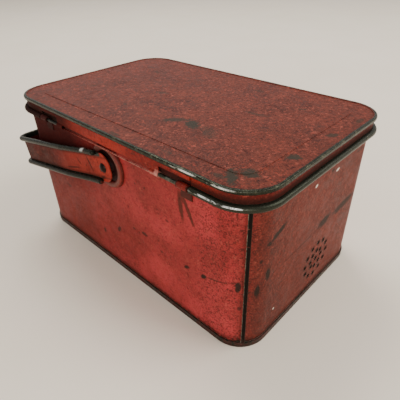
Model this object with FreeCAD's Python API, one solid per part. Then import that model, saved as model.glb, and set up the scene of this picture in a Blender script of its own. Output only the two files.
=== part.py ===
import FreeCAD, Part

import math
import os

# Tinplate carry box with a hinged lid, a swinging strap handle and punched vent holes.
# Millimetres. X runs along the box, -Y is the hinge side, +Z is up, and the origin is the
# centre of the flat bottom. At rest the lid is shut and the handle hangs at the -X end.

# ---- driving dimensions ----
CORE_X = 81.5                 # corner arc centres, shared by every outline of body and lid
CORE_Y = 43.6
SHEET = 0.4                   # tinplate thickness, hems and coating included
WALL_R = 17.4                 # corner radius of the body wall's outer face
FOOT_R = 18.2                 # corner radius of the bottom seam
FOOT_HEIGHT = 3.8
SEAM_WIDTH = 2.6              # folded seam over the lap at two opposite corners
RIM_TOP = 97.0                # top of the body's wired rim, inside the lid
SKIRT_R = 18.9                # corner radius of the lid skirt's outer face
BAND_R = 20.05                # the flat part of the skirt stands out this far on the long sides
LID_R = 20.1                  # corner radius of the lid's top seam
LID_TOP = 101.4               # top of the seam that joins the lid's panel to its skirt
PANEL_TOP = 101.0
SEAM_BOTTOM = 99.3
SEAM_LIP = 1.0                # the lid's top seam laps this far in over the panel
RAISED_X = 88.0               # half sizes of the panel's faintly raised middle
RAISED_Y = 51.0
RAISED_HEIGHT = 0.3
RAISED_CORNER = 9.0
BEAD_Z = 92.5                 # height of the wired bead, and of the lid's hinge line
BEAD_R = 19.65                # outline radius of the bead's centre line
BEAD_OUTER = 1.75
LID_WIRE = 1.0                # radius of the wire in the lid's bead
RIM_WIRE = 0.85
BAND_HALF = 46.0              # half length of the flat band on each long side
BEAD_START = 66.5             # on the hinge side the bead begins this far from the middle
CURL = 6.0                    # length of the curls that hold the wire at the ends of the bands
NOTCH_TOP = 97.2              # top of the slots that show the hinge wire
KNUCKLE_X = 62.0              # middle of each hinge tab
KNUCKLE_WIDTH = 7.0
TAB_LENGTH = 8.0              # each tab is soldered to the wall this far below the hinge line
TAB_THICK = 0.6
RUNNING = 0.06                # radial clearance of the hinge tabs and of the handle's holes

PIVOT_Z = 80.0                # handle pivot, at mid length of both long sides
DROOP = 11.5                  # the handle hangs this many degrees below level at rest
STRAP = 0.6                   # thickness of the handle's strap
STRAP_HALF = 8.8              # half width of the flat web, to the middle of each rolled edge
ROLL = 1.6                    # outer radius of the strap's rolled edges
STRAP_WIRE = 0.95
PIVOT_GAP_Y = 64.6            # inner face of the strap at the pivot
LEG_Y = 66.2                  # inner face of the strap beside the lid's bead
SPLAY_START = 16.0            # the legs spread between these two distances from the pivot
SPLAY_END = 40.0
EAR = 6.8                     # the strap runs on past the pivot by this much
EAR_RADIUS = 7.4
ROLL_START = 5.0              # the rolled edges begin this far from the pivot
REACH = 105.0                 # pivot to the inner face of the crossbar
STRAP_BEND = 7.0              # inner bend radius where a leg turns into the crossbar
RIVET_R = 1.9
RIVET_FIT = 0.02              # radial clearance of the rivets in the fixed parts
HEAD_R = 2.9                  # rivet head outside, and peened end inside
HEAD_HEIGHT = 1.5
PEEN_R = 2.7
PEEN_HEIGHT = 0.9
BURR_R = 4.2
BURR_THICK = 0.8
BOSS_PAD_R = 3.9              # pivot boss, out from the middle: pad, recess, raised ring, edge
BOSS_RECESS_R = 5.0
BOSS_RISE_R = 9.4
BOSS_CREST_R = 11.4
BOSS_EDGE_R = 13.5
BOSS_CREST = 2.4
BOSS_TOP_Z = 90.6             # the bosses are cut straight here, under the lid's edge

VENT_CENTRE = (7.1, 24.4)     # Y and Z of the vent rosette on the +X end
VENT_RINGS = ((0.0, 1), (6.0, 8), (12.0, 12))
VENT_R = 1.2

WALL_Y = CORE_Y + WALL_R
RIM_ROLL = RIM_WIRE + SHEET + 0.05
RIM_LINE_R = WALL_R - RIM_ROLL
ROLL_Z = RIM_TOP - RIM_ROLL
BAND_Y = CORE_Y + BAND_R
HINGE_Y = -(CORE_Y + BEAD_R)
X_AXIS = FreeCAD.Vector(1, 0, 0)
Y_AXIS = FreeCAD.Vector(0, 1, 0)
Z_AXIS = FreeCAD.Vector(0, 0, 1)


# ---- shared shapes ----
def vec(x, y, z):
    return FreeCAD.Vector(x, y, z)


def box(x0, x1, y0, y1, z0, z1):
    """A block between two corners."""
    return Part.makeBox(x1 - x0, y1 - y0, z1 - z0, vec(x0, y0, z0))


def rod(radius, start, end):
    """A round bar from one point to another."""
    return Part.makeCylinder(radius, (end - start).Length, start, end - start)


def slab(radius, z0, z1):
    """A rounded rectangle block whose corner radius also sets how far it reaches."""
    shape = box(-CORE_X - radius, CORE_X + radius, -CORE_Y, CORE_Y, z0, z1)
    shape = shape.fuse(box(-CORE_X, CORE_X, -CORE_Y - radius, CORE_Y + radius, z0, z1))
    corners = [Part.makeCylinder(radius, z1 - z0, vec(sx * CORE_X, sy * CORE_Y, z0))
               for sx in (-1, 1) for sy in (-1, 1)]
    return shape.multiFuse(corners).removeSplitter()


def frame_ring(outer, inner, z0, z1):
    """A wall that follows the outline between two corner radii."""
    return slab(outer, z0, z1).cut(slab(inner, z0 - 1, z1 + 1))


def round_ring(radius, line_r, z):
    """A round bar bent into a closed ring along the outline."""
    y = CORE_Y + line_r
    x = CORE_X + line_r
    bars = [rod(radius, vec(-CORE_X, sy * y, z), vec(CORE_X, sy * y, z)) for sy in (-1, 1)]
    bars += [rod(radius, vec(sx * x, -CORE_Y, z), vec(sx * x, CORE_Y, z)) for sx in (-1, 1)]
    for sx in (-1, 1):
        for sy in (-1, 1):
            start = {(1, 1): 0, (-1, 1): 90, (-1, -1): 180, (1, -1): 270}[(sx, sy)]
            circle = Part.Face(Part.Wire(Part.makeCircle(radius, vec(line_r, 0, 0), Y_AXIS)))
            arc = circle.revolve(vec(0, 0, 0), Z_AXIS, 90)
            arc.rotate(vec(0, 0, 0), Z_AXIS, start)
            arc.translate(vec(sx * CORE_X, sy * CORE_Y, z))
            bars.append(arc)
    return bars[0].multiFuse(bars[1:]).removeSplitter()


def side(shape, sign):
    """The same shape for the hinge side (sign -1) or mirrored to the front (sign 1)."""
    if sign < 0:
        return shape
    return shape.mirror(vec(0, 0, 0), Y_AXIS)


def end(shape, sign):
    """The same shape for the +X end (sign 1) or mirrored to the -X end (sign -1)."""
    if sign > 0:
        return shape
    return shape.mirror(vec(0, 0, 0), X_AXIS)


# ---- body ----
def bottom_panel():
    """Flat bottom sheet, its edge turned up and over the foot of the wall."""
    plate = slab(FOOT_R, 0, SHEET)
    upstand = frame_ring(FOOT_R, FOOT_R - SHEET, 0, FOOT_HEIGHT)
    lip = frame_ring(FOOT_R, WALL_R, FOOT_HEIGHT - SHEET, FOOT_HEIGHT)
    shape = plate.multiFuse([upstand, lip]).removeSplitter()
    edges = [e for e in shape.Edges if outline_edge(e, FOOT_R, (0, FOOT_HEIGHT))]
    return shape.makeFillet(0.35, edges)


def outline_edge(edge, radius, heights):
    """True for an edge on the outline of this radius at one of these heights."""
    box_of = edge.BoundBox
    if not any(abs(box_of.ZMin - z) < 1e-6 and abs(box_of.ZMax - z) < 1e-6 for z in heights):
        return False
    point = edge.valueAt((edge.FirstParameter + edge.LastParameter) / 2)
    dx = max(abs(point.x) - CORE_X, 0)
    dy = max(abs(point.y) - CORE_Y, 0)
    return abs(math.hypot(dx, dy) - radius) < 1e-6


def wall_layers():
    """The layers of the body wall: the wall, its foot flange and its rolled rim."""
    wall = frame_ring(WALL_R, WALL_R - SHEET, SHEET, ROLL_Z)
    foot = frame_ring(FOOT_R - SHEET, WALL_R - SHEET, SHEET, FOOT_HEIGHT - SHEET)
    rolled_rim = round_ring(RIM_ROLL, RIM_LINE_R, ROLL_Z).cut(round_ring(RIM_WIRE + 0.05, RIM_LINE_R, ROLL_Z))
    return wall, foot, rolled_rim


def corner_wedge(sx, sy, degrees_from, degrees_to, r0, r1, z0, z1):
    """Part of a corner's wall between two angles measured from the X direction."""
    ring = Part.makeCylinder(r1, z1 - z0, vec(0, 0, z0), Z_AXIS, degrees_to - degrees_from)
    ring = ring.cut(Part.makeCylinder(r0, z1 - z0, vec(0, 0, z0)))
    start = {(1, -1): -degrees_to, (-1, 1): 180 - degrees_to}[(sx, sy)]
    ring.rotate(vec(0, 0, 0), Z_AXIS, start)
    ring.translate(vec(sx * CORE_X, sy * CORE_Y, 0))
    return ring


def seam_strip(sx, sy):
    """Folded strip that closes the lap between the two sheets at one corner."""
    half = math.degrees(SEAM_WIDTH / 2 / WALL_R)
    top = BEAD_Z - BEAD_OUTER - 0.8
    strip = corner_wedge(sx, sy, 45 - half, 45 + half, WALL_R - SHEET / 2, FOOT_R, FOOT_HEIGHT, top)
    upright = [e for e in strip.Edges if e.BoundBox.ZLength > 50 and far_edge(e)]
    return strip.makeFillet(0.35, upright)


def body_sheets():
    """Two wall sheets that meet at two opposite corners, each carrying one covered seam."""
    far = 100
    # the parting line runs out through the middle of both seam corners at 45 degrees
    corners = [(CORE_X, -CORE_Y), (CORE_X + far, -CORE_Y - far), (-CORE_X - far, -CORE_Y - far),
               (-CORE_X - far, CORE_Y + far), (-CORE_X, CORE_Y)]
    outline = Part.makePolygon([vec(x, y, -10) for x, y in corners + corners[:1]])
    half = Part.Face(outline).extrude(vec(0, 0, 150))
    strips = {(1, -1): seam_strip(1, -1), (-1, 1): seam_strip(-1, 1)}
    hinge_layers = [layer.common(half) for layer in wall_layers()]
    front_layers = [layer.cut(half) for layer in wall_layers()]
    # each strip belongs to one sheet, so the other sheet gives way to it
    hinge_layers = [layer.cut(strips[(1, -1)]) for layer in hinge_layers]
    front_layers = [layer.cut(strips[(-1, 1)]) for layer in front_layers]
    hinge_sheet = strips[(-1, 1)].multiFuse(hinge_layers)
    front_sheet = strips[(1, -1)].multiFuse(front_layers)
    return hinge_sheet.removeSplitter(), front_sheet.removeSplitter()


def far_edge(edge):
    """True for an upright edge on the outer face of a seam strip."""
    point = edge.Vertexes[0].Point
    return math.hypot(abs(point.x) - CORE_X, abs(point.y) - CORE_Y) > FOOT_R - 0.01


def vent_holes():
    """Rings of small punched holes in the +X end."""
    drills = []
    for radius, count in VENT_RINGS:
        for index in range(count):
            turn = 2 * math.pi * index / count
            y = VENT_CENTRE[0] + radius * math.cos(turn)
            z = VENT_CENTRE[1] + radius * math.sin(turn)
            drills.append(rod(VENT_R, vec(CORE_X + 10, y, z), vec(CORE_X + 25, y, z)))
    return Part.makeCompound(drills)


def rivet_hole(sign):
    """Cutter for the rivet hole in the wall on one long side."""
    return rod(RIVET_R + RIVET_FIT, vec(0, sign * (WALL_Y - 5), PIVOT_Z), vec(0, sign * (WALL_Y + 5), PIVOT_Z))


def rim_wire():
    """Closed wire ring inside the body's rolled rim."""
    return round_ring(RIM_WIRE, RIM_LINE_R, ROLL_Z)


def hinge_tab(sign):
    """Tin strip soldered to the wall, curled round the lid's wire."""
    x0 = KNUCKLE_X - KNUCKLE_WIDTH / 2
    x1 = KNUCKLE_X + KNUCKLE_WIDTH / 2
    face_y = -WALL_Y - TAB_THICK
    low_z = BEAD_Z - TAB_LENGTH
    strip = box(x0, x1, face_y, -WALL_Y, low_z, BEAD_Z)
    low = [e for e in strip.Edges if abs(e.BoundBox.ZMax - low_z) < 1e-6
           and abs(e.BoundBox.YMax - face_y) < 1e-6 and e.BoundBox.XLength > 1]
    strip = strip.makeFillet(0.5, low)
    axis_start = vec(x0, HINGE_Y, BEAD_Z)
    axis_end = vec(x1, HINGE_Y, BEAD_Z)
    shape = strip.fuse(rod(BEAD_OUTER, axis_start, axis_end))
    shape = shape.cut(rod(LID_WIRE + RUNNING, axis_start, axis_end))
    return end(shape.removeSplitter(), sign)


# ---- handle pivots ----
def dome_middle(base, tip):
    """Middle point of the arc from a rim to a tip on the axis, centred on the axis."""
    rise = tip[1] - base[1]
    radius = (base[0] ** 2 + rise ** 2) / (2 * abs(rise))
    centre = tip[1] - math.copysign(radius, rise)
    half_angle = math.asin(min(base[0] / radius, 1)) / 2
    return radius * math.sin(half_angle), centre + math.copysign(radius * math.cos(half_angle), rise)


def turned(outline, sign):
    """Solid of revolution about the handle's axis. Places are (radius, height off the wall)."""
    edges = []
    for kind, *places in outline:
        if kind == "dome":
            base, tip = sorted(places, key=lambda place: -place[0])
            places = [places[0], dome_middle(base, tip), places[1]]
        points = [vec(r, -WALL_Y - h, PIVOT_Z) for r, h in places]
        edges.append(Part.makeLine(*points) if kind == "line" else Part.Arc(*points).toShape())
    face = Part.Face(Part.Wire(edges))
    return side(face.revolve(vec(0, 0, PIVOT_Z), Y_AXIS, 360), sign)


def pivot_boss(sign):
    """Pressed tin boss that holds the strap off the wall, with a raised ring round a recess.
    Its top is cut straight, to leave room for the lid's edge."""
    hole = RIVET_R + RIVET_FIT
    top = PIVOT_GAP_Y - WALL_Y - 0.05
    boss = turned([
        ("line", (hole, top), (BOSS_PAD_R, top)),
        ("line", (BOSS_PAD_R, top), (BOSS_RECESS_R, SHEET)),
        ("line", (BOSS_RECESS_R, SHEET), (BOSS_RISE_R, SHEET)),
        ("arc", (BOSS_RISE_R, SHEET), (BOSS_CREST_R, BOSS_CREST), (BOSS_EDGE_R, 0)),
        ("line", (BOSS_EDGE_R, 0), (BOSS_EDGE_R - SHEET, 0)),
        ("arc", (BOSS_EDGE_R - SHEET, 0), (BOSS_CREST_R, BOSS_CREST - SHEET), (BOSS_RISE_R + 0.3, 0)),
        ("line", (BOSS_RISE_R + 0.3, 0), (BOSS_RECESS_R - SHEET, 0)),
        ("line", (BOSS_RECESS_R - SHEET, 0), (BOSS_PAD_R - SHEET, top - SHEET)),
        ("line", (BOSS_PAD_R - SHEET, top - SHEET), (hole, top - SHEET)),
        ("line", (hole, top - SHEET), (hole, top)),
    ], sign)
    room = box(-BOSS_EDGE_R, BOSS_EDGE_R, -WALL_Y - 10, WALL_Y + 10, BOSS_TOP_Z, RIM_TOP)
    return boss.cut(room)


def handle_rivet(sign):
    """Round-headed rivet through strap, boss, wall and burr, peened over inside."""
    head = PIVOT_GAP_Y - WALL_Y + STRAP + 0.05
    inside = -SHEET - BURR_THICK
    return turned([
        ("line", (0, head + HEAD_HEIGHT), (0, inside - PEEN_HEIGHT)),
        ("dome", (0, inside - PEEN_HEIGHT), (PEEN_R, inside)),
        ("line", (PEEN_R, inside), (RIVET_R, inside)),
        ("line", (RIVET_R, inside), (RIVET_R, head)),
        ("line", (RIVET_R, head), (HEAD_R, head)),
        ("dome", (HEAD_R, head), (0, head + HEAD_HEIGHT)),
    ], sign)


def rivet_burr(sign):
    """Small washer under the peened end of a rivet, inside the body."""
    hole = RIVET_R + RIVET_FIT
    inside = -SHEET - BURR_THICK
    return turned([
        ("line", (hole, -SHEET), (BURR_R, -SHEET)),
        ("line", (BURR_R, -SHEET), (BURR_R, inside)),
        ("line", (BURR_R, inside), (hole, inside)),
        ("line", (hole, inside), (hole, -SHEET)),
    ], sign)


# ---- lid ----
def lid_panel():
    """Top sheet with a faintly raised middle and a rolled seam round its edge."""
    plate = slab(SKIRT_R, PANEL_TOP - SHEET, PANEL_TOP)
    seam = frame_ring(LID_R, SKIRT_R, SEAM_BOTTOM, LID_TOP)
    lip = frame_ring(SKIRT_R, SKIRT_R - SEAM_LIP, PANEL_TOP - SHEET, LID_TOP)
    shape = plate.multiFuse([seam, lip]).removeSplitter()
    outside = [e for e in shape.Edges if outline_edge(e, LID_R, (LID_TOP,))]
    shape = shape.makeFillet(0.9, outside)
    inside = [e for e in shape.Edges if outline_edge(e, SKIRT_R - SEAM_LIP, (LID_TOP,))]
    shape = shape.makeFillet(0.35, inside)
    under = [e for e in shape.Edges if outline_edge(e, LID_R, (SEAM_BOTTOM,))]
    shape = shape.makeFillet(0.4, under)
    raised_top = PANEL_TOP + RAISED_HEIGHT
    raised = box(-RAISED_X, RAISED_X, -RAISED_Y, RAISED_Y, PANEL_TOP - SHEET / 2, raised_top)
    corners = [e for e in raised.Edges if e.BoundBox.ZLength > RAISED_HEIGHT]
    raised = raised.makeFillet(RAISED_CORNER, corners)
    rim = [e for e in raised.Edges if abs(e.BoundBox.ZMin - raised_top) < 1e-6]
    return shape.fuse(raised.makeFillet(RAISED_HEIGHT - 0.02, rim)).removeSplitter()


def lid_skirt():
    """Skirt with a wired bead at its lower edge, set flat in the middle of both long sides.
    On the hinge side the bead starts beyond the slots for the hinge tabs."""
    wall = frame_ring(SKIRT_R, SKIRT_R - SHEET, BEAD_Z, PANEL_TOP - SHEET)
    shape = wall.fuse(round_ring(BEAD_OUTER, BEAD_R, BEAD_Z))
    for sign, bead_start in ((-1, BEAD_START), (1, BAND_HALF)):
        gap = box(-bead_start, bead_start, -BAND_Y - 5, -WALL_Y - 0.1, 80, SEAM_BOTTOM)
        shape = shape.cut(side(gap, sign)).fuse(side(flat_band(bead_start), sign))
    shape = shape.cut(round_ring(LID_WIRE + 0.05, BEAD_R, BEAD_Z))
    return shape.removeSplitter()


def flat_band(bead_start):
    """Flat stretch of skirt, flush with the top seam, hemmed below and curled round the wire
    at both ends. A bead that starts further out leaves a slot beside it."""
    low = BEAD_Z - 1.3
    inner_y = CORE_Y + SKIRT_R - SHEET
    pieces = [
        box(-bead_start, bead_start, -BAND_Y, -BAND_Y + SHEET, NOTCH_TOP, SEAM_BOTTOM),
        box(-bead_start, bead_start, -BAND_Y, -inner_y, SEAM_BOTTOM - SHEET, SEAM_BOTTOM),
        box(-BAND_HALF + CURL, BAND_HALF - CURL, -BAND_Y, -BAND_Y + 2 * SHEET, low, low + 3.2),
    ]
    for sign in (-1, 1):
        web = box(bead_start - SHEET, bead_start, -BAND_Y, -inner_y, NOTCH_TOP, SEAM_BOTTOM)
        curl_start = vec(BAND_HALF - CURL, HINGE_Y, BEAD_Z)
        curl = rod(BEAD_OUTER - 0.3, curl_start, curl_start + vec(CURL, 0, 0))
        pieces += [end(web, sign), end(curl, sign)]
    band = box(-BAND_HALF, BAND_HALF, -BAND_Y, -BAND_Y + SHEET, low, SEAM_BOTTOM)
    return band.multiFuse(pieces).removeSplitter()


def lid_wire(sign):
    """Wire in the bead round one end of the lid, its two ends held by the flat bands' curls."""
    ring = round_ring(LID_WIRE, BEAD_R, BEAD_Z)
    keep = box(BAND_HALF - CURL + 0.5, 200, -100, 100, 80, 100)
    return end(ring.common(keep), sign)


# ---- handle ----
def strap_path(offset):
    """Centre line of one long leg, bend and half crossbar, at this distance out from the
    strap's inner face, drawn level and pointing to -X. Returns edges from pivot to middle."""
    splay = math.atan2(LEG_Y - PIVOT_GAP_Y, SPLAY_END - SPLAY_START)
    shift = offset * math.tan(splay / 2)
    near = -PIVOT_GAP_Y - offset
    far = -LEG_Y - offset
    outer = REACH + offset
    bend = STRAP_BEND + offset
    turn = bend * (1 - math.sin(math.radians(45)))
    return [
        ("line", vec(-ROLL_START, near, 0), vec(-SPLAY_START - shift, near, 0)),
        ("line", vec(-SPLAY_START - shift, near, 0), vec(-SPLAY_END - shift, far, 0)),
        ("line", vec(-SPLAY_END - shift, far, 0), vec(-outer + bend, far, 0)),
        ("arc", vec(-outer + bend, far, 0), vec(-outer + turn, far + turn, 0), vec(-outer, far + bend, 0)),
        ("line", vec(-outer, far + bend, 0), vec(-outer, 0, 0)),
    ]


def strap_wire_path(offset):
    """The whole handle's path, both legs, as one wire."""
    half = []
    for kind, *places in strap_path(offset):
        half.append(Part.Arc(*places).toShape() if kind == "arc" else Part.makeLine(*places))
    other = [e.mirror(vec(0, 0, 0), Y_AXIS) for e in half]
    return Part.Wire(Part.sortEdges(half + other)[0])


def swept(radius, offset, w):
    """A round bar along the handle's path at height w in the strap's width."""
    path = strap_wire_path(offset)
    path.translate(vec(0, 0, w))
    start = path.Edges[0].valueAt(path.Edges[0].FirstParameter)
    sign = 1 if start.y > 0 else -1
    circle = Part.Wire(Part.makeCircle(radius, vec(-ROLL_START, sign * (PIVOT_GAP_Y + offset), w), X_AXIS))
    return path.makePipeShell([circle], True, False, 1)


def web():
    """The flat of the strap: a bent sheet with a rounded ear past each pivot."""
    inner = strap_wire_path(0)
    outer = strap_wire_path(STRAP)
    ends = []
    for sign in (-1, 1):
        ends.append(Part.makeLine(vec(-ROLL_START, sign * PIVOT_GAP_Y, 0),
                                  vec(-ROLL_START, sign * (PIVOT_GAP_Y + STRAP), 0)))
    outline = Part.Wire(Part.sortEdges(inner.Edges + outer.Edges + ends)[0])
    outline.translate(vec(0, 0, -STRAP_HALF))
    sheet = Part.Face(outline).extrude(vec(0, 0, 2 * STRAP_HALF))
    ears = []
    for sign in (-1, 1):
        ear = box(-ROLL_START - 0.5, EAR, -PIVOT_GAP_Y - STRAP, -PIVOT_GAP_Y, -STRAP_HALF, STRAP_HALF)
        tips = [e for e in ear.Edges if e.BoundBox.XMin > EAR - 0.01 and e.BoundBox.YLength > STRAP - 0.01]
        ear = ear.makeFillet(EAR_RADIUS, tips)
        ears.append(side(ear, sign))
    sheet = sheet.multiFuse(ears)
    hole = rod(RIVET_R + RUNNING, vec(0, -80, 0), vec(0, 80, 0))
    return sheet.cut(hole).removeSplitter()


def hang(shape):
    """Lift a part drawn level at the origin to the pivot and let it droop to its rest."""
    shape.rotate(vec(0, 0, 0), Y_AXIS, -DROOP)
    shape.translate(vec(0, 0, PIVOT_Z))
    return shape


def roll_tips():
    """Round closed ends of the rolled edges, beside both pivots."""
    room = box(-ROLL_START, 0, -PIVOT_GAP_Y - 3 * ROLL, PIVOT_GAP_Y + 3 * ROLL, -2 * STRAP_HALF, 2 * STRAP_HALF)
    tips = []
    for sign in (-1, 1):
        for w in (-STRAP_HALF, STRAP_HALF):
            ball = Part.makeSphere(ROLL, vec(-ROLL_START, sign * (PIVOT_GAP_Y + ROLL), w))
            tips.append(ball.common(room))
    return tips


def handle_strap():
    """Strap handle with both edges rolled outward over a wire."""
    rolls = [swept(ROLL, ROLL, w) for w in (-STRAP_HALF, STRAP_HALF)]
    bores = [swept(STRAP_WIRE + 0.05, ROLL, w) for w in (-STRAP_HALF, STRAP_HALF)]
    hollow = web().multiFuse(rolls).cut(Part.makeCompound(bores))
    return hang(hollow.multiFuse(roll_tips()).removeSplitter())


def handle_wire(w):
    """Wire inside one rolled edge of the strap."""
    return hang(swept(STRAP_WIRE, ROLL, w))


def build():
    """Every node of the model, by name."""
    hinge_sheet, front_sheet = body_sheets()
    parts = {
        "bottom_panel": bottom_panel(),
        "body_sheet_hinge_side": hinge_sheet.cut(rivet_hole(-1)),
        "body_sheet_front_side": front_sheet.cut(vent_holes()).cut(rivet_hole(1)),
        "body_rim_wire": rim_wire(),
        "lid_panel": lid_panel(),
        "lid_skirt": lid_skirt(),
        "handle_strap": handle_strap(),
        "handle_wire_upper": handle_wire(STRAP_HALF),
        "handle_wire_lower": handle_wire(-STRAP_HALF),
    }
    for name, sign in (("right", 1), ("left", -1)):
        parts["hinge_tab_" + name] = hinge_tab(sign)
        parts["lid_wire_" + name] = lid_wire(sign)
    for name, sign in (("hinge_side", -1), ("front_side", 1)):
        parts["pivot_boss_" + name] = pivot_boss(sign)
        parts["handle_rivet_" + name] = handle_rivet(sign)
        parts["rivet_burr_" + name] = rivet_burr(sign)
    return parts


os.makedirs("parts", exist_ok=True)
for node, shape in build().items():
    solids = shape.Solids
    print(node, "solids", len(solids), "valid", shape.isValid(), "volume", round(shape.Volume, 1))
    whole = solids[0] if len(solids) == 1 else Part.makeCompound(solids)
    whole.exportStep("parts/" + node + ".step")
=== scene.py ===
import math

import bpy
from mathutils import Matrix, Vector


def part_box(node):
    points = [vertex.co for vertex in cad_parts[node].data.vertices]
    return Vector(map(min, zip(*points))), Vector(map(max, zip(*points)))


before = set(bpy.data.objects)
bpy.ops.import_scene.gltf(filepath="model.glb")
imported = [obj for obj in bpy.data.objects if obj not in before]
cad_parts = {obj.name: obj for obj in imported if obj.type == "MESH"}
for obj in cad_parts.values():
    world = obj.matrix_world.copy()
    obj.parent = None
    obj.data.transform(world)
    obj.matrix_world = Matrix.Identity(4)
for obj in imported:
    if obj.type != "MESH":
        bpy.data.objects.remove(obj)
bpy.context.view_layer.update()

# Looks of a worn red tinplate carry box. Lengths in the materials are millimetres in the
# part's own frame: +X along the box, -Y the hinge side, +Z up, origin under the middle.

MM = 1000.0                   # metres to millimetres
DROOP = 11.5                  # degrees the handle hangs below level
CORNER = 17.4                 # corner radius of the body wall
LID_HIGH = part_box("lid_panel")[1]
SKIRT_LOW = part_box("lid_skirt")[0]
FOOT_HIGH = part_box("bottom_panel")[1]
RIVET_LOW, RIVET_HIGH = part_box("handle_rivet_hinge_side")
TAB_LOW, TAB_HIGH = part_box("hinge_tab_right")
PIVOT_Z = (RIVET_LOW.z + RIVET_HIGH.z) / 2 * MM
BEAD_RADIUS = 1.75            # outer radius of the lid's wired bead
BEAD_Z = SKIRT_LOW.z * MM + BEAD_RADIUS
LID_TOP = LID_HIGH.z * MM
SEAM_R = 18.2                 # corner radius of the bottom seam
CORE_X = FOOT_HIGH.x * MM - SEAM_R
CORE_Y = FOOT_HIGH.y * MM - SEAM_R
LID_R = LID_HIGH.x * MM - CORE_X
TAB_X = (TAB_LOW.x + TAB_HIGH.x) / 2 * MM
SKIRT_R = 18.9                # corner radius of the lid skirt
BEAD_R = 19.65                # outline radius of the bead's centre line
BAND_HALF = 46.0              # half length of the flat band on each long side
CURL_X = 44.8                 # middle of the curls at the ends of a flat band
RAISED_X, RAISED_Y = 88.0, 51.0    # half sizes of the lid's raised middle
RING_R = 11.2                 # crest of the pivot boss's raised ring
GLINT_X = -16.5              # painted highlight, a bright spot on the strap's upper roll
VENT_Y, VENT_Z = 7.1, 24.4    # middle of the vent rosette on the +X end
VENT_RINGS = ((6.0, 8), (12.0, 12))


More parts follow.
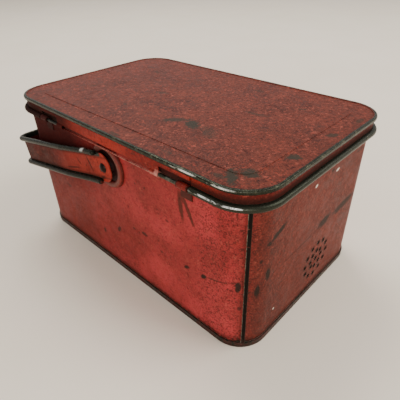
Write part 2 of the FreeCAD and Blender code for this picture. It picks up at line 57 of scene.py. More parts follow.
# ---- node trees, one value at a time ----
class Tree:
    """Builds a material's nodes. Arguments may be sockets, numbers or colours."""

    def __init__(self, name):
        self.material = bpy.data.materials.new(name)
        self.material.use_nodes = True
        self.nodes = self.material.node_tree.nodes
        self.nodes.clear()
        self.links = self.material.node_tree.links
        coordinates = self.node("ShaderNodeTexCoord").outputs["Object"]
        self.place = self.scaled(coordinates, MM)
        self.x, self.y, self.z = self.split(self.place)

    def node(self, kind, **settings):
        made = self.nodes.new(kind)
        for key, value in settings.items():
            setattr(made, key, value)
        return made

    def put(self, socket, value):
        if isinstance(value, bpy.types.NodeSocket):
            self.links.new(value, socket)
        elif isinstance(value, (tuple, list)) and len(value) == 3 and socket.type == "RGBA":
            socket.default_value = (*value, 1.0)
        else:
            socket.default_value = value

    def math(self, operation, a, b=0.0, c=0.0):
        made = self.node("ShaderNodeMath", operation=operation)
        for socket, value in zip(made.inputs, (a, b, c)):
            self.put(socket, value)
        return made.outputs[0]

    def chain(self, operation, values):
        result = values[0]
        for value in values[1:]:
            result = self.math(operation, result, value)
        return result

    def add(self, *values):
        return self.chain("ADD", values)

    def mul(self, *values):
        return self.chain("MULTIPLY", values)

    def most(self, *values):
        return self.chain("MAXIMUM", values)

    def least(self, *values):
        return self.chain("MINIMUM", values)

    def sub(self, a, b):
        return self.math("SUBTRACT", a, b)

    def abs(self, value):
        return self.math("ABSOLUTE", value)

    def off(self, value, middle):
        """How far a value is from the middle, either way."""
        return self.abs(self.sub(value, middle))

    def length(self, a, b):
        """Length of the step that is a along and b across."""
        return self.math("SQRT", self.add(self.mul(a, a), self.mul(b, b)))

    def step(self, value, low, high):
        """0 at low, 1 at high, smooth between. Low may be more than high."""
        made = self.node("ShaderNodeMapRange", interpolation_type="SMOOTHSTEP", clamp=True)
        rising = low < high
        self.put(made.inputs["Value"], value)
        self.put(made.inputs["From Min"], min(low, high))
        self.put(made.inputs["From Max"], max(low, high))
        self.put(made.inputs["To Min"], 0.0 if rising else 1.0)
        self.put(made.inputs["To Max"], 1.0 if rising else 0.0)
        return made.outputs[0]

    def scaled(self, vector, factor):
        made = self.node("ShaderNodeVectorMath", operation="MULTIPLY")
        self.put(made.inputs[0], vector)
        factors = factor if isinstance(factor, (tuple, list)) else (factor,) * 3
        made.inputs[1].default_value = factors
        return made.outputs[0]

    def split(self, vector):
        made = self.node("ShaderNodeSeparateXYZ")
        self.put(made.inputs[0], vector)
        return made.outputs[0], made.outputs[1], made.outputs[2]

    def noise(self, size, detail=4.0, rough=0.55, twist=0.0, stretch=(1, 1, 1), seed=0.0):
        """Cloudy noise whose blobs are about this many millimetres across."""
        made = self.node("ShaderNodeTexNoise", noise_dimensions="4D")
        self.put(made.inputs["Vector"], self.scaled(self.place, stretch))
        made.inputs["W"].default_value = seed
        made.inputs["Scale"].default_value = 1.0 / size
        made.inputs["Detail"].default_value = detail
        made.inputs["Roughness"].default_value = rough
        made.inputs["Distortion"].default_value = twist
        return made.outputs["Fac"]

    def cells(self, size):
        """Distance to the edges of cells about this many millimetres across, in cell sizes."""
        made = self.node("ShaderNodeTexVoronoi", feature="DISTANCE_TO_EDGE")
        self.put(made.inputs["Vector"], self.place)
        made.inputs["Scale"].default_value = 1.0 / size
        return made.outputs["Distance"]

    def mix(self, factor, a, b):
        made = self.node("ShaderNodeMix", data_type="RGBA", clamp_factor=True)
        self.put(made.inputs[0], factor)
        self.put(made.inputs[6], a)
        self.put(made.inputs[7], b)
        return made.outputs[2]

    def blend(self, factor, a, b):
        made = self.node("ShaderNodeMix", data_type="FLOAT", clamp_factor=True)
        self.put(made.inputs[0], factor)
        self.put(made.inputs[2], a)
        self.put(made.inputs[3], b)
        return made.outputs[0]

    def outline(self):
        """Corner radius of the outline through each point, which grows outward from the core."""
        past_x = self.sub(self.abs(self.x), CORE_X)
        past_y = self.sub(self.abs(self.y), CORE_Y)
        outside = self.length(self.most(past_x, 0.0), self.most(past_y, 0.0))
        inside = self.least(self.most(past_x, past_y), 0.0)
        return self.add(outside, inside)

    def spots(self, u, v, marks, ragged=0.55, size=2.2, seed=0.0):
        """Ragged patches on a face. A mark is (u, v, half length, half width, degrees, strength)."""
        fray = self.mul(self.sub(self.noise(size, 6.0, 0.72, 0.5, seed=seed), 0.5), 2.6 * ragged)
        total = None
        for mu, mv, long, wide, degrees, strength in marks:
            turn = math.radians(degrees)
            du = self.sub(u, mu)
            dv = self.sub(v, mv)
            along = self.add(self.mul(du, math.cos(turn) / long), self.mul(dv, math.sin(turn) / long))
            across = self.sub(self.mul(dv, math.cos(turn) / wide), self.mul(du, math.sin(turn) / wide))
            far = self.add(self.length(along, across), fray)
            spot = self.mul(self.step(far, 1.15, 0.55), strength)
            total = spot if total is None else self.most(total, spot)
        return total

    def surface(self, colour, rough, metal, height, depth, specular=0.16):
        """Ends the tree with one shader. Height is 0 to 1 and depth its size in millimetres."""
        shader = self.node("ShaderNodeBsdfPrincipled")
        self.put(shader.inputs["Base Color"], colour)
        self.put(shader.inputs["Roughness"], rough)
        self.put(shader.inputs["Metallic"], metal)
        shader.inputs["Specular IOR Level"].default_value = specular
        bump = self.node("ShaderNodeBump")
        bump.inputs["Strength"].default_value = 1.0
        bump.inputs["Distance"].default_value = depth / MM
        self.put(bump.inputs["Height"], height)
        self.links.new(bump.outputs[0], shader.inputs["Normal"])
        out = self.node("ShaderNodeOutputMaterial")
        self.links.new(shader.outputs[0], out.inputs["Surface"])
        return self.material


# ---- colours, linear ----
RED_DEEP = (0.120, 0.007, 0.005)
RED_DUSTY = (0.150, 0.030, 0.020)
RED_PINK = (0.420, 0.110, 0.075)
RED_ORANGE = (0.330, 0.040, 0.020)
MAROON = (0.040, 0.004, 0.003)
BROWN = (0.030, 0.008, 0.005)
METAL_BLACK = (0.010, 0.011, 0.008)
METAL_DARK = (0.030, 0.032, 0.022)
METAL_OLIVE = (0.095, 0.092, 0.056)
METAL_LIGHT = (0.420, 0.410, 0.350)
RUST = (0.085, 0.026, 0.010)
CHALK = (0.66, 0.56, 0.46)
SCUFF = (0.50, 0.20, 0.16)
# painted shade colour for the dim left end of the hinge side
PAINTED_SHADE = (0.020, 0.003, 0.002)
SOOT = (0.010, 0.003, 0.002)
TIN = (0.34, 0.31, 0.25)
TIN_DULL = (0.225, 0.190, 0.135)


def enamel(tree, bright, dull, dust, crackled, dirt=0.15, contrast=0.55):
    """Red enamel: clouds of faded and fresh paint, mottling, dark specks and fine crackle.
    Crackled is a mask of where the crackle is strong, and the rest are strengths.
    Returns colour, roughness and height."""
    clouds = tree.step(tree.noise(34.0, 3.0, 0.5, 0.4), 0.38, 0.62)
    mottle = tree.step(tree.noise(6.0, 6.0, 0.62, 0.6, seed=3.0), 0.36, 0.66)
    grain = tree.noise(1.5, 5.0, 0.74, 0.6, seed=5.0)
    soil = tree.step(tree.noise(17.0, 5.0, 0.6, 0.8, stretch=(0.6, 1, 1), seed=4.0), 0.52, 0.70)
    colour = tree.mix(clouds, dull, bright)
    colour = tree.mix(tree.mul(mottle, dust), colour, RED_DUSTY)
    colour = tree.mix(tree.mul(soil, dirt), colour, BROWN)
    fine = tree.noise(0.8, 3.0, 0.65, seed=2.0)
    light = tree.most(tree.step(grain, 0.52, 0.68), tree.mul(tree.step(fine, 0.56, 0.72), 0.8))
    colour = tree.mix(tree.mul(light, contrast), colour, tree.mix(mottle, RED_ORANGE, RED_PINK))
    shade = tree.most(tree.step(grain, 0.48, 0.32), tree.mul(tree.step(fine, 0.44, 0.28), 0.8))
    colour = tree.mix(tree.mul(shade, 1.4 * contrast), colour, MAROON)
    dots = tree.step(tree.noise(1.9, 3.0, 0.55, seed=6.0), 0.665, 0.70)
    colour = tree.mix(tree.mul(dots, 0.80), colour, BROWN)
    broken = tree.step(tree.noise(1.7, 4.0, 0.6, 1.2, seed=7.0), 0.42, 0.60)
    net = tree.mul(tree.step(tree.cells(1.25), 0.22, 0.04), broken)
    patches = tree.step(tree.noise(13.0, 3.0, 0.5, seed=8.0), 0.46, 0.60)
    net = tree.mul(net, tree.most(tree.mul(patches, 0.6), crackled))
    colour = tree.mix(tree.mul(net, 0.75), colour, BROWN)
    dents = tree.noise(26.0, 2.0, 0.45, seed=10.0)
    height = tree.add(tree.mul(grain, 0.9), tree.mul(dents, 4.0))
    height = tree.sub(height, tree.mul(net, 0.5))
    rough = tree.blend(mottle, 0.40, 0.56)
    return colour, rough, height


def bare_metal(tree, olive=0.5, bright=0.68):
    """Old bare tinplate: black-green tarnish with olive patches and small bright specks."""
    patches = tree.step(tree.noise(3.2, 5.0, 0.6, seed=14.0), 0.66 - 0.3 * olive, 0.86 - 0.3 * olive)
    specks = tree.step(tree.noise(1.2, 4.0, 0.65, seed=15.0), bright, bright + 0.05)
    colour = tree.mix(patches, METAL_DARK, METAL_OLIVE)
    return tree.mix(specks, colour, METAL_LIGHT)


def worn(tree, paint, wear, metal_colour, low=0.5):
    """Paint over bare metal where the wear mask passes low.
    Returns colour, roughness, metallic and height."""
    colour, rough, height = paint
    grain = tree.noise(0.7, 4.0, 0.7, seed=12.0)
    rim = tree.step(wear, low - 0.12, low)
    bare = tree.step(wear, low, low + 0.05)
    colour = tree.mix(tree.mul(rim, 0.75), colour, BROWN)
    colour = tree.mix(bare, colour, metal_colour)
    rough = tree.blend(bare, rough, tree.add(0.12, tree.mul(grain, 0.30)))
    height = tree.sub(height, tree.mul(bare, 0.5))
    return colour, rough, tree.mul(bare, 0.85), height


def stained(tree, look, mask, colour, rough=0.55):
    """The same look with a mark of this colour where the mask is."""
    old_colour, old_rough, metal, height = look
    return (tree.mix(mask, old_colour, colour), tree.blend(mask, old_rough, rough),
            tree.mul(metal, tree.sub(1.0, mask)), tree.sub(height, tree.mul(mask, 0.3)))


def lined(tree, look, inside):
    """The same look with dull unpainted tin where the inside mask is."""
    colour, rough, metal, height = look
    clouds = tree.step(tree.noise(22.0, 4.0, 0.55, seed=17.0), 0.36, 0.70)
    tin = tree.mix(clouds, TIN, TIN_DULL)
    spots = tree.step(tree.noise(2.6, 5.0, 0.65, seed=18.0), 0.64, 0.70)
    tin = tree.mix(tree.mul(spots, 0.6), tin, RUST)
    return (tree.mix(inside, colour, tin), tree.blend(inside, rough, 0.42),
            tree.blend(inside, metal, 0.70), tree.blend(inside, height, 0.0))


# ---- marks on each face, in millimetres ----
# Each is (u, v, half length, half width, degrees, strength). U and v are X and Y on the top,
# X and Z on the hinge side, Y and Z on the vented end, and X and across on the strap.
TOP_MARKS = [(31, -25, 7.5, 4.0, -25, 0.95), (19, -27, 7.5, 3.0, 40, 0.8), (45, -27, 9.0, 4.5, -35, 0.5),
             (92, -22, 4.0, 3.0, 50, 0.9), (86, -47, 5.5, 3.5, 20, 0.95), (82, -54, 7.0, 3.0, -50, 0.95),
             (77, -57, 3.5, 2.0, 0, 0.7), (94, 11, 4.0, 2.0, 60, 0.8), (-21, 0, 6.0, 2.0, 20, 0.55),
             (-23, -29, 2.5, 1.0, 0, 0.6), (64, 32, 3.0, 1.5, 30, 0.6), (49, 9, 8.0, 2.0, 10, 0.5),
             (26, 43, 4.5, 2.0, 0, 0.4), (8, -60, 5.0, 1.5, 0, 0.7), (-60, 30, 5.0, 1.5, -20, 0.5),
             (-70, -20, 4.0, 1.5, 70, 0.5), (45, -56, 4.0, 1.5, 0, 0.5), (96, 37, 2.0, 4.0, 0, 0.6)]
STRAP_MARKS = [(-14, 1, 7.0, 0.6, -59, 0.95), (-25, 1, 3.5, 0.6, -50, 0.7), (-1, -6, 2.0, 1.2, 0, 0.8),
               (-33, -4, 9.0, 0.9, 5, 0.7), (-70, 2, 5.0, 1.5, 10, 0.5), (-92, -2, 4.0, 2.0, 0, 0.5)]
HINGE_MARKS = [(25, 44, 3.0, 1.5, 0, 0.7), (-1, 34, 3.0, 1.5, 60, 0.8), (-19, 24, 2.5, 1.5, 70, 0.75),
               (-56, 44, 3.0, 1.5, 0, 0.5), (15, 43, 1.5, 1.0, 0, 0.6), (39, 39, 1.5, 1.0, 0, 0.6),
               (46, 64, 1.5, 1.0, 0, 0.6), (59, 40, 2.5, 1.2, 30, 0.9), (71, 41, 3.0, 1.5, 40, 0.95),
               (80, 44, 10.0, 0.6, 18, 0.6), (91, 45, 1.4, 4.0, 0, 0.95), (92, 30, 1.0, 1.6, 0, 0.7)]
STREAKS = [(57, 78, 10.0, 1.7, -84, 0.8), (62, 78, 10.5, 1.5, -65, 0.8), (58, 84, 3.5, 2.5, -75, 0.7)]
END_MARKS = [(-39, 72, 8.0, 1.8, 21, 0.95), (-46, 69, 1.8, 1.5, 0, 0.9), (-45, 50, 2.0, 4.5, 0, 0.95),
             (-51, 41, 1.6, 5.0, 0, 0.95), (9, 51, 7.5, 3.4, 8, 0.9), (32, 51, 15.0, 3.0, 4, 0.85),
             (8, 84, 2.0, 1.2, 0, 0.8), (40, 84, 6.0, 1.2, 0, 0.5), (-50, 60, 0.9, 1.5, 0, 0.8)]
END_LINES = [(-17, 48, 22.0, 0.8, 3, 0.65), (-30, 36, 16.0, 0.6, 40, 0.4)]
CHIPS = [(-8, 82, 1.3, 1.0, 20, 1.0), (14, 82, 2.0, 0.9, 10, 1.0), (-36, 17, 0.9, 0.8, 0, 0.8)]


def scratches(tree, seed, along, amount):
    """Thin streaks, as from things dragged across the paint."""
    streak = tree.noise(1.3, 2.0, 0.4, 0.2, stretch=along, seed=seed)
    where = tree.step(tree.noise(22.0, 2.0, 0.5, seed=seed + 1.0), 0.46, 0.62)
    return tree.mul(tree.step(streak, amount, amount + 0.05), where)


def pivot_distance(tree):
    """Distance from the handle's axis."""
    return tree.length(tree.x, tree.sub(tree.z, PIVOT_Z))


def seam_across(tree):
    """Distance across the folded seam at either seam corner, and a mask of those two corners."""
    half_turn = tree.math("SIGN", tree.x)
    x = tree.sub(tree.mul(tree.x, half_turn), CORE_X)
    y = tree.sub(tree.mul(tree.y, half_turn, -1.0), CORE_Y)
    across = tree.mul(tree.sub(x, y), math.sqrt(0.5))
    here = tree.mul(tree.step(x, 3.0, 6.0), tree.step(y, 3.0, 6.0))
    return across, here


def vent_distance(tree):
    """Distance from the middle of the nearest punched hole."""
    u = tree.sub(tree.y, VENT_Y)
    v = tree.sub(tree.z, VENT_Z)
    out = tree.length(u, v)
    angle = tree.math("ARCTAN2", v, u)
    near = out
    for ring, count in VENT_RINGS:
        turn = tree.math("WRAP", angle, math.pi / count, -math.pi / count)
        reach = tree.mul(tree.math("COSINE", turn), tree.mul(out, -2.0 * ring))
        square = tree.add(tree.mul(out, out), ring * ring, reach)
        near = tree.least(near, tree.math("SQRT", tree.most(square, 0.0)))
    return near


def wall_paint(tree):
    """Brighter towards the vented end of the long sides, a painted pool of light; dusty on the ends,
    crackled by the seam.
    """
    ends = tree.step(tree.abs(tree.x), CORE_X + 6, CORE_X + CORNER)
    # painted light: the long sides brighten towards the vented end
    along = tree.step(tree.x, -75.0, 75.0)
    fresh = tree.mix(along, (0.160, 0.009, 0.007), (0.430, 0.038, 0.042))
    faded = tree.mix(along, (0.130, 0.008, 0.006), (0.265, 0.023, 0.023))
    bright = tree.mix(ends, fresh, (0.118, 0.017, 0.010))
    dull = tree.mix(ends, faded, (0.088, 0.014, 0.009))
    corner = tree.mul(tree.step(tree.x, 58.0, 74.0), tree.step(tree.y, 0.0, -40.0))
    return enamel(tree, bright, dull, 0.25, corner, 0.09)


def wall_wear(tree, paint, chipped, foot):
    """Paint gone to the metal along the foot and the folded seams, whose groove is black."""
    across, here = seam_across(tree)
    strip = tree.mul(tree.step(tree.off(across, 0.2), 1.15, 0.85), here)
    beside = tree.mul(tree.step(tree.abs(across), 6.0, 1.0), here)
    patches = tree.noise(11.0, 3.0, 0.5, seed=22.0)
    wear = tree.add(tree.mul(chipped, 0.46), tree.mul(patches, 0.12), tree.mul(foot, 0.16),
                    tree.mul(strip, 0.24), tree.mul(beside, 0.10))
    edge = tree.mul(tree.step(tree.off(across, -0.80), 0.35, 0.12), here, tree.step(chipped, 0.42, 0.60))
    metal_colour = tree.mix(edge, bare_metal(tree, 0.35, 0.72), (0.16, 0.15, 0.12))
    look = worn(tree, paint, wear, metal_colour)
    groove = tree.mul(tree.step(tree.off(across, 0.30), 0.95, 0.65), here)
    return stained(tree, look, tree.mul(groove, 0.97), (0.004, 0.002, 0.001), 0.8)


def wall_marks_and_shade(tree, look, chipped, vent_end):
    """Painted shade on the hinge side under the handle and just below the lid's bead, and the dark marks
    and streaks on the paint.
    """
    hinge_side = tree.step(tree.y, -CORE_Y, -CORE_Y - 10)
    # painted shade: near-black on the hinge side under the handle
    shade_under_handle = tree.mul(tree.step(tree.x, -8.0, -45.0), tree.step(tree.z, 40.0, 76.0), hinge_side,
                      tree.add(0.6, tree.mul(chipped, 0.6)))
    look = stained(tree, look, tree.mul(shade_under_handle, 0.92), (0.022, 0.0016, 0.0012), 0.85)
    # painted shade: darker just below the lid's bead
    shade_under_bead = tree.step(tree.z, BEAD_Z - 2.6, BEAD_Z - 0.6)
    look = stained(tree, look, tree.mul(shade_under_bead, 0.85), (0.018, 0.008, 0.005), 0.7)
    dark = tree.mix(tree.noise(2.0, 4.0, 0.6, seed=33.0), SOOT, (0.022, 0.018, 0.012))
    stains = tree.most(tree.mul(tree.spots(tree.x, tree.z, HINGE_MARKS, seed=31.0), hinge_side),
                       tree.mul(tree.spots(tree.y, tree.z, END_MARKS, seed=32.0), vent_end))
    look = stained(tree, look, stains, dark)
    streaks = tree.mul(tree.spots(tree.x, tree.z, STREAKS, 0.55, 1.8, 34.0), hinge_side)
    return stained(tree, look, streaks, (0.042, 0.014, 0.008), 0.6)


def vent_end_marks(tree, look, vent_end):
    """Pale chips, and dark dirt in and round the punched holes."""
    chalk = tree.mul(tree.spots(tree.y, tree.z, CHIPS, 0.3, 1.0, 36.0), vent_end)
    look = stained(tree, look, chalk, CHALK, 0.7)
    near = vent_distance(tree)
    look = stained(tree, look, tree.mul(tree.step(near, 2.8, 1.4), vent_end, 0.6), BROWN)
    return stained(tree, look, tree.mul(tree.step(near, 1.65, 1.35), vent_end), (0.022, 0.009, 0.005))


def wall_material():
    """Body sheets: fresher red on the hinge side, brighter towards the vented end as painted light, with
    painted shade under the handle and the lid's bead, dustier at the ends, dark at foot and seam.
    """
    tree = Tree("body_enamel")
    chipped = tree.noise(1.6, 5.0, 0.7, seed=21.0)
    foot = tree.step(tree.z, 9.0, 3.5)
    vent_end = tree.step(tree.x, CORE_X, CORE_X + 10)
    look = wall_wear(tree, wall_paint(tree), chipped, foot)
    look = wall_marks_and_shade(tree, look, chipped, vent_end)
    lines = tree.mul(tree.spots(tree.y, tree.z, END_LINES, 0.45, 2.0, 35.0), vent_end)
    look = stained(tree, look, tree.mul(lines, 0.7), BROWN)
    shade = tree.mul(foot, tree.step(chipped, 0.30, 0.60))
    look = stained(tree, look, tree.mul(shade, 0.65), BROWN)
    look = vent_end_marks(tree, look, vent_end)
    look = stained(tree, look, tree.mul(scratches(tree, 41.0, (1, 0.05, 1), 0.70), 0.30), RED_PINK)
    inside = tree.step(tree.outline(), CORNER - 0.22, CORNER - 0.30)
    return tree.surface(*lined(tree, look, inside), 0.12, 0.10)


def glint_stretch(tree, start, finish):
    """Mask of a stretch of the hinge side where the lid's edges get a painted highlight."""
    begun = tree.step(tree.x, start - 3.0, start + 2.0)
    not_over = tree.step(tree.x, finish + 5.0, finish - 5.0)
    broken = tree.step(tree.noise(4.0, 5.0, 0.7, stretch=(0.35, 1, 1), seed=56.0), 0.44, 0.54)
    return tree.mul(begun, not_over, broken, tree.step(tree.y, -50.0, -56.0))


def lid_metal(tree, radius):
    """Metal of the lid's rolled seam: darker down its side, with a painted highlight along its edge."""
    low_edge = tree.step(tree.z, LID_TOP - 0.7, LID_TOP - 1.3)
    metal_colour = tree.mix(tree.mul(low_edge, 0.5), bare_metal(tree, 0.55, 0.66), METAL_BLACK)
    # painted highlight along the seam's edge
    glint = tree.mul(tree.step(radius, LID_R - 0.40, LID_R - 0.15),
                      tree.step(tree.z, LID_TOP - 1.2, LID_TOP - 0.9), glint_stretch(tree, 56.0, 88.0))
    return tree.mix(tree.mul(glint, 0.9), metal_colour, (0.92, 0.92, 0.86))


def raised_line(tree):
    """Broken dark line where the lid's raised middle begins."""
    past_x = tree.sub(tree.abs(tree.x), RAISED_X)
    past_y = tree.sub(tree.abs(tree.y), RAISED_Y)
    line = tree.step(tree.abs(tree.most(past_x, past_y)), 1.1, 0.2)
    return tree.mul(line, tree.step(tree.noise(9.0, 4.0, 0.6, seed=52.0), 0.50, 0.64))


def lid_material():
    """Lid panel: dulled on top, worn to dark tin round the rolled seam, with a painted highlight along
    part of its edge.
    """
    tree = Tree("lid_enamel")
    radius = tree.outline()
    near_corner = tree.mul(tree.step(tree.x, 20.0, 80.0), tree.step(tree.y, -15.0, -50.0))
    paint = enamel(tree, (0.128, 0.026, 0.014), (0.092, 0.021, 0.012), 0.45, near_corner, 0.5, 0.95)
    chipped = tree.noise(2.6, 6.0, 0.70, 0.3, seed=51.0)
    seam = tree.step(radius, LID_R - 1.9, LID_R - 1.2)
    uneven = tree.mul(tree.sub(tree.noise(9.0, 3.0, 0.6, stretch=(0.5, 1, 1), seed=57.0), 0.45), 14.0)
    near_edge = tree.step(tree.add(radius, uneven), LID_R - 7.0, LID_R + 0.5)
    wear = tree.add(tree.mul(chipped, 0.50), tree.mul(seam, 0.28), tree.mul(near_edge, 0.15))
    look = worn(tree, paint, wear, lid_metal(tree, radius))
    look = stained(tree, look, tree.mul(raised_line(tree), 0.55), BROWN)
    dark = tree.mix(tree.noise(2.4, 4.0, 0.6, seed=54.0), (0.034, 0.020, 0.012), METAL_DARK)
    look = stained(tree, look, tree.spots(tree.x, tree.y, TOP_MARKS, 1.15, 2.4, 53.0), dark)
    look = stained(tree, look, tree.mul(scratches(tree, 61.0, (0.08, 1, 1), 0.66), 0.30), RED_PINK)
    inside = tree.mul(tree.step(tree.z, LID_TOP - 0.62, LID_TOP - 0.74),
                      tree.step(radius, SKIRT_R - 0.7, SKIRT_R - 0.9))
    return tree.surface(*lined(tree, look, inside), 0.14, 0.12)


def skirt_metal(tree, radius, left):
    """Metal of the bead: black towards the far end as painted shade, with a painted highlight near the
    vented end.
    """
    # painted highlight along the top of the bead
    glint = tree.mul(tree.step(tree.off(tree.z, BEAD_Z + 0.8), 0.50, 0.20),
                      tree.step(radius, BEAD_R + 0.55, BEAD_R + 0.85), glint_stretch(tree, 66.0, 92.0))
    # painted shade: the bead's metal goes black towards the left
    metal_colour = tree.mix(tree.mul(left, 0.8), bare_metal(tree, 0.25, 0.74), METAL_BLACK)
    return tree.mix(tree.mul(glint, 0.9), metal_colour, (0.92, 0.92, 0.88))


def skirt_material():
    """Lid skirt: red flat bands scuffed along their lower edge, and a bead worn to the metal; painted
    shade darkens it towards the ends, at the left and in the crease above the bead, where there is some
    grime too.
    """
    tree = Tree("skirt_enamel")
    radius = tree.outline()
    side = tree.abs(tree.x)
    beyond = tree.step(side, BAND_HALF + 0.5, BAND_HALF + 1.5)
    # painted shade: darker towards the ends where the skirt is recessed
    near_ends = tree.step(side, 72.0, 90.0)
    bright = tree.mix(near_ends, (0.330, 0.020, 0.010), (0.110, 0.009, 0.007))
    dull = tree.mix(near_ends, (0.190, 0.010, 0.007), (0.050, 0.006, 0.005))
    paint = enamel(tree, bright, dull, 0.15, 0.6)
    # painted shade mask for the dim left part of the skirt
    left = tree.step(tree.x, -12.0, -42.0)
    bead = tree.mul(tree.step(tree.z, BEAD_Z + 2.3, BEAD_Z + 1.7), beyond)
    chipped = tree.noise(1.7, 5.0, 0.68, seed=71.0)
    top_edge = tree.step(tree.z, LID_TOP - 3.2, LID_TOP - 2.2)
    wear = tree.add(tree.mul(chipped, 0.52), tree.mul(bead, 0.32), tree.mul(beyond, 0.04),
                    tree.mul(top_edge, 0.05))
    colour, rough, metal, height = worn(tree, paint, wear, skirt_metal(tree, radius, left))
    look = colour, rough, tree.mul(metal, 0.7), height
    look = stained(tree, look, tree.mul(left, 0.85), PAINTED_SHADE, 0.8)
    # painted shade and grime: darker in the crease above the bead
    gloom = tree.mul(tree.step(tree.z, BEAD_Z + 6.4, BEAD_Z + 3.0), beyond, tree.sub(1.0, bead))
    look = stained(tree, look, tree.mul(gloom, 0.85), (0.022, 0.006, 0.004), 0.7)
    low_edge = tree.mul(tree.step(tree.z, BEAD_Z + 1.0, BEAD_Z - 0.1), tree.step(tree.x, -40.0, 10.0))
    scuff = tree.mul(low_edge, tree.sub(1.0, beyond), tree.step(chipped, 0.36, 0.50))
    look = stained(tree, look, tree.mul(scuff, 0.75), SCUFF)
    curl = tree.mul(tree.step(tree.off(side, CURL_X), 1.8, 0.8), tree.step(tree.x, -10.0, 10.0),
                    tree.step(tree.z, BEAD_Z + 3.0, BEAD_Z + 1.0))
    look = stained(tree, look, tree.mul(curl, 0.8), SCUFF)
    inside = tree.step(radius, SKIRT_R - 0.28, SKIRT_R - 0.36)
    return tree.surface(*lined(tree, look, inside), 0.10, 0.08)


def strap_material():
    """Handle strap: red web, creased by the pivot, darker towards the far end as painted shade, and
    rolled edges worn to near-black metal with a painted highlight on the upper roll.
    """
    tree = Tree("strap_enamel")
    # painted shade: the web darkens towards the far end
    far_end = tree.step(tree.x, -22.0, -60.0)
    bright = tree.mix(far_end, (0.330, 0.030, 0.018), (0.080, 0.005, 0.004))
    dull = tree.mix(far_end, (0.170, 0.014, 0.009), (0.040, 0.003, 0.002))
    paint = enamel(tree, bright, dull, 0.15, 0.3, 0.35, 0.45)
    turn = math.radians(DROOP)
    across = tree.add(tree.mul(tree.sub(tree.z, PIVOT_Z), math.cos(turn)),
                      tree.mul(tree.x, -math.sin(turn)))
    roll = tree.step(tree.abs(across), 6.0, 7.0)
    past_pivot = tree.step(tree.x, 1.0, -3.0)
    chipped = tree.noise(1.7, 5.0, 0.68, seed=81.0)
    wear = tree.add(tree.mul(chipped, 0.46), tree.mul(roll, past_pivot, 0.36),
                    tree.mul(tree.step(pivot_distance(tree), 7.0, 3.0), 0.16))
    metal_colour = tree.mix(0.75, bare_metal(tree, 0.10, 0.74), METAL_BLACK)
    # painted highlight on the strap's upper roll
    glint = tree.mul(tree.step(tree.off(tree.x, GLINT_X), 2.4, 0.6), tree.step(across, 8.4, 9.8))
    metal_colour = tree.mix(tree.mul(glint, 0.8), metal_colour, (0.70, 0.72, 0.68))
    colour, rough, metal, height = worn(tree, paint, wear, metal_colour)
    look = colour, rough, tree.mul(metal, 0.4), height
    look = stained(tree, look, tree.spots(tree.x, across, STRAP_MARKS, 0.4, 2.0, 82.0), BROWN)
    # dark brown along the rolls: partly worn paint, partly painted shade
    beside = tree.mul(tree.step(tree.abs(across), 4.8, 6.6), tree.sub(1.0, roll))
    look = stained(tree, look, tree.mul(beside, 0.75), BROWN)
    return tree.surface(*look, 0.10, 0.05)


def boss_material():
    """Pivot boss: red, its raised ring worn grey-pink by the swinging strap, with a painted shadow inside
    the ring and painted shade on its outer slope.
    """
    tree = Tree("boss_enamel")
    paint = enamel(tree, (0.180, 0.014, 0.009), RED_DEEP, 0.3, 0.0)
    distance = pivot_distance(tree)
    chipped = tree.noise(1.4, 5.0, 0.68, seed=91.0)
    look = worn(tree, paint, tree.mul(chipped, 0.45), bare_metal(tree), 0.52)
    ring = tree.step(tree.off(distance, RING_R), 1.9, 0.8)
    ring = tree.mul(ring, tree.step(chipped, 0.28, 0.50))
    look = stained(tree, look, tree.mul(ring, 0.75), (0.120, 0.052, 0.042))
    # painted shadow: near-black inside the ring, under the strap's end
    look = stained(tree, look, tree.mul(tree.step(distance, 10.0, 9.0), 0.92), (0.012, 0.006, 0.005))
    # painted shade: a brown line on the ring's outer slope
    look = stained(tree, look, tree.mul(tree.step(distance, 12.9, 13.3), 0.6), BROWN)
    return tree.surface(*look, 0.08)


def tin_material(name, dark, light, paint_left):
    """Tarnished tin or wire, with a little red paint left on it."""
    tree = Tree(name)
    tarnish = tree.step(tree.noise(4.0, 5.0, 0.65, seed=101.0), 0.40, 0.70)
    grain = tree.noise(0.5, 3.0, 0.7, seed=102.0)
    colour = tree.mix(tarnish, dark, light)
    rust = tree.step(tree.noise(7.0, 5.0, 0.7, seed=103.0), 0.60, 0.72)
    colour = tree.mix(tree.mul(rust, 0.7), colour, RUST)
    left = tree.step(tree.noise(2.2, 5.0, 0.7, seed=104.0), 0.70 - paint_left, 0.76 - paint_left)
    colour = tree.mix(left, colour, RED_DEEP)
    rough = tree.add(0.24, tree.mul(grain, 0.26))
    metal = tree.mul(0.85, tree.sub(1.0, tree.most(left, tree.mul(rust, 0.8))))
    return tree.surface(colour, rough, metal, tree.add(grain, tree.mul(left, 0.8)), 0.05)


def bottom_material():
    """Bottom sheet: nearly black seam round the foot, tin inside."""
    tree = Tree("bottom_enamel")
    paint = enamel(tree, (0.050, 0.009, 0.006), (0.022, 0.006, 0.004), 0.05, 0.0)
    chipped = tree.noise(2.0, 5.0, 0.68, seed=121.0)
    metal_colour = tree.mix(0.6, bare_metal(tree, 0.0, 0.80), METAL_BLACK)
    look = worn(tree, paint, tree.add(tree.mul(chipped, 0.5), 0.26), metal_colour)
    within = tree.step(tree.outline(), SEAM_R - 0.5, SEAM_R - 0.7)
    inside = tree.mul(tree.step(tree.z, 0.25, 0.35), within)
    return tree.surface(*lined(tree, look, inside), 0.08)


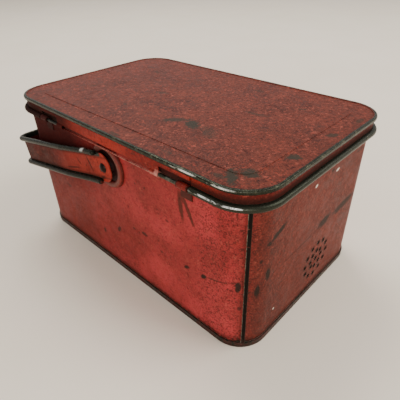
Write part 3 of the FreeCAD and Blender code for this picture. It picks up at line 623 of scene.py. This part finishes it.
def tab_material():
    """Hinge tabs: painted with the body, worn where the lid's wire turns, and the left tab darkened as
    painted shade.
    """
    tree = Tree("tab_enamel")
    paint = enamel(tree, (0.200, 0.012, 0.008), RED_DEEP, 0.2, 0.4)
    chipped = tree.noise(1.3, 5.0, 0.68, seed=131.0)
    knuckle = tree.step(tree.z, BEAD_Z - 1.8, BEAD_Z - 0.6)
    wear = tree.add(tree.mul(chipped, 0.50), tree.mul(knuckle, 0.10))
    look = worn(tree, paint, wear, bare_metal(tree, 0.3, 0.7))
    sides = tree.step(tree.off(tree.abs(tree.x), TAB_X), 2.4, 3.3)
    plate = tree.step(tree.z, BEAD_Z - 1.5, BEAD_Z - 3.0)
    look = stained(tree, look, tree.mul(tree.most(sides, plate), 0.75), BROWN)
    # painted shade: the left tab darkens
    look = stained(tree, look, tree.mul(tree.step(tree.x, 10.0, -10.0), 0.85), PAINTED_SHADE, 0.8)
    return tree.surface(*look, 0.08)


def dress():
    """Gives every CAD node its material."""
    wall = wall_material()
    wire = tin_material("wire_tin", METAL_DARK, (0.20, 0.20, 0.16), 0.0)
    rivet = tin_material("rivet_tin", (0.016, 0.011, 0.009), (0.050, 0.036, 0.030), 0.02)
    tab = tab_material()
    # painted shade: near-black wire for the left hinge
    painted_shade_wire = tin_material("grimy_wire_tin", METAL_BLACK, (0.030, 0.030, 0.024), 0.0)
    looks = {"body_sheet_hinge_side": wall, "body_sheet_front_side": wall, "hinge_tab_right": tab,
             "hinge_tab_left": tab, "bottom_panel": bottom_material(), "lid_panel": lid_material(),
             "lid_skirt": skirt_material(), "handle_strap": strap_material(), "lid_wire_left": painted_shade_wire}
    boss = boss_material()
    for name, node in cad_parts.items():
        if name.startswith("pivot_boss"):
            look = boss
        elif name.startswith(("handle_rivet", "rivet_burr")):
            look = rivet
        else:
            look = looks.get(name, wire)
        node.data.materials.clear()
        node.data.materials.append(look)


# ---- floor, light and camera ----
def floor_material():
    tree = Tree("pale_floor")
    soft = tree.noise(90.0, 2.0, 0.5, seed=111.0)
    colour = tree.mix(soft, (0.840, 0.735, 0.600), (0.900, 0.800, 0.680))
    return tree.surface(colour, 0.9, 0.0, soft, 0.4)


def make_floor():
    size = 4.0
    mesh = bpy.data.meshes.new("floor")
    corners = [(-size, -size, 0), (size, -size, 0), (size, size, 0), (-size, size, 0)]
    mesh.from_pydata(corners, [], [(0, 1, 2, 3)])
    floor = bpy.data.objects.new("floor", mesh)
    bpy.context.collection.objects.link(floor)
    mesh.materials.append(floor_material())


def area_light(name, place, aim, size, power, colour):
    data = bpy.data.lights.new(name, "AREA")
    data.shape = "RECTANGLE"
    data.size, data.size_y = size
    data.energy = power
    data.color = colour
    light = bpy.data.objects.new(name, data)
    light.location = place
    light.rotation_euler = (Vector(aim) - Vector(place)).to_track_quat("-Z", "Y").to_euler()
    bpy.context.collection.objects.link(light)


def make_lights():
    world = bpy.data.worlds.new("soft_room")
    world.use_nodes = True
    world.node_tree.nodes["Background"].inputs[0].default_value = (1.0, 0.99, 0.96, 1.0)
    world.node_tree.nodes["Background"].inputs[1].default_value = 0.62
    bpy.context.scene.world = world
    middle = (0, 0, 0.05)
    area_light("window_left", (-0.75, 0.35, 1.40), middle, (0.8, 0.6), 14.0, (1.0, 0.99, 0.96))
    area_light("window_right", (1.10, 0.90, 1.20), middle, (1.3, 1.0), 22.0, (1.0, 0.99, 0.96))
    area_light("front", (0.85, -1.10, 0.55), (0.07, -0.06, 0.05), (0.9, 0.6), 11.0, (1.0, 0.96, 0.92))


def make_camera():
    """Looks down on the near corner between the hinge side and the vented end."""
    azimuth = math.radians(44.1)
    elevation = math.radians(33.9)
    roll = math.radians(-1.5)
    distance = 0.236
    aim = Vector((0.0317, -0.0214, 0.0506))
    back = Vector((math.sin(azimuth) * math.cos(elevation), -math.cos(azimuth) * math.cos(elevation),
                   math.sin(elevation)))
    data = bpy.data.cameras.new("camera")
    data.lens = 34.4
    data.sensor_width = 36.0
    data.clip_start = 0.01
    camera = bpy.data.objects.new("camera", data)
    level = (-back).to_track_quat("-Z", "Y").to_matrix()
    turned = level @ Matrix.Rotation(roll, 3, "Z")
    camera.matrix_world = Matrix.Translation(aim + back * distance) @ turned.to_4x4()
    bpy.context.collection.objects.link(camera)
    bpy.context.scene.camera = camera


make_camera()
make_lights()
make_floor()
dress()
